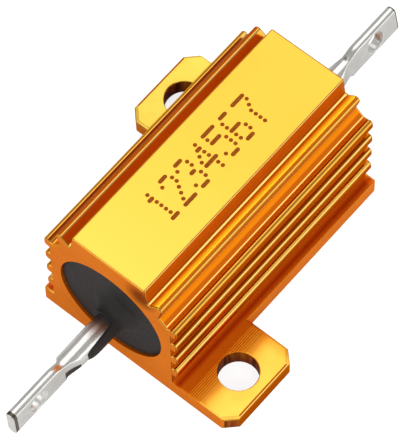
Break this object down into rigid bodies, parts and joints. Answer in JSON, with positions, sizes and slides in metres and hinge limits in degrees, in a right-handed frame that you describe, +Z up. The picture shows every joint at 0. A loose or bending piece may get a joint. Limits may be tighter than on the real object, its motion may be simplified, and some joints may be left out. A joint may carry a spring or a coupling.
{
  "type": "aluminium housed resistor",
  "caption": "Wirewound power resistor potted in a ribbed gold-anodised aluminium housing with diagonal fixing lugs and an eyed blade terminal at each end.",
  "frame": {"origin": "on the mounting face, midway between the two fixing holes, which is also below the middle of the housing", "axes": "+X along the housing towards the rear terminal, +Z up out of the mounting face, +Y towards the rear lug's side"},
  "size_m": [0.0534, 0.0276, 0.016],
  "materials": {
    "anodised_aluminium": "gold-orange anodised, satin, drawn along its length",
    "black_moulding": "black high-temperature moulding compound, dull",
    "ceramic": "white fired steatite ceramic, unglazed",
    "resistance_alloy": "bare nickel-chromium wire",
    "cap_steel": "plated pressed steel",
    "tinned_copper": "bright tin plate over copper"
  },
  "bodies": {
    "root": {"housing": "anodised_aluminium", "moulding": "black_moulding", "ceramic_core": "ceramic", "resistance_wire": "resistance_alloy", "end_cap_front": "cap_steel", "end_cap_rear": "cap_steel", "terminal_front": "tinned_copper", "terminal_rear": "tinned_copper"}
  },
  "joints": []
}
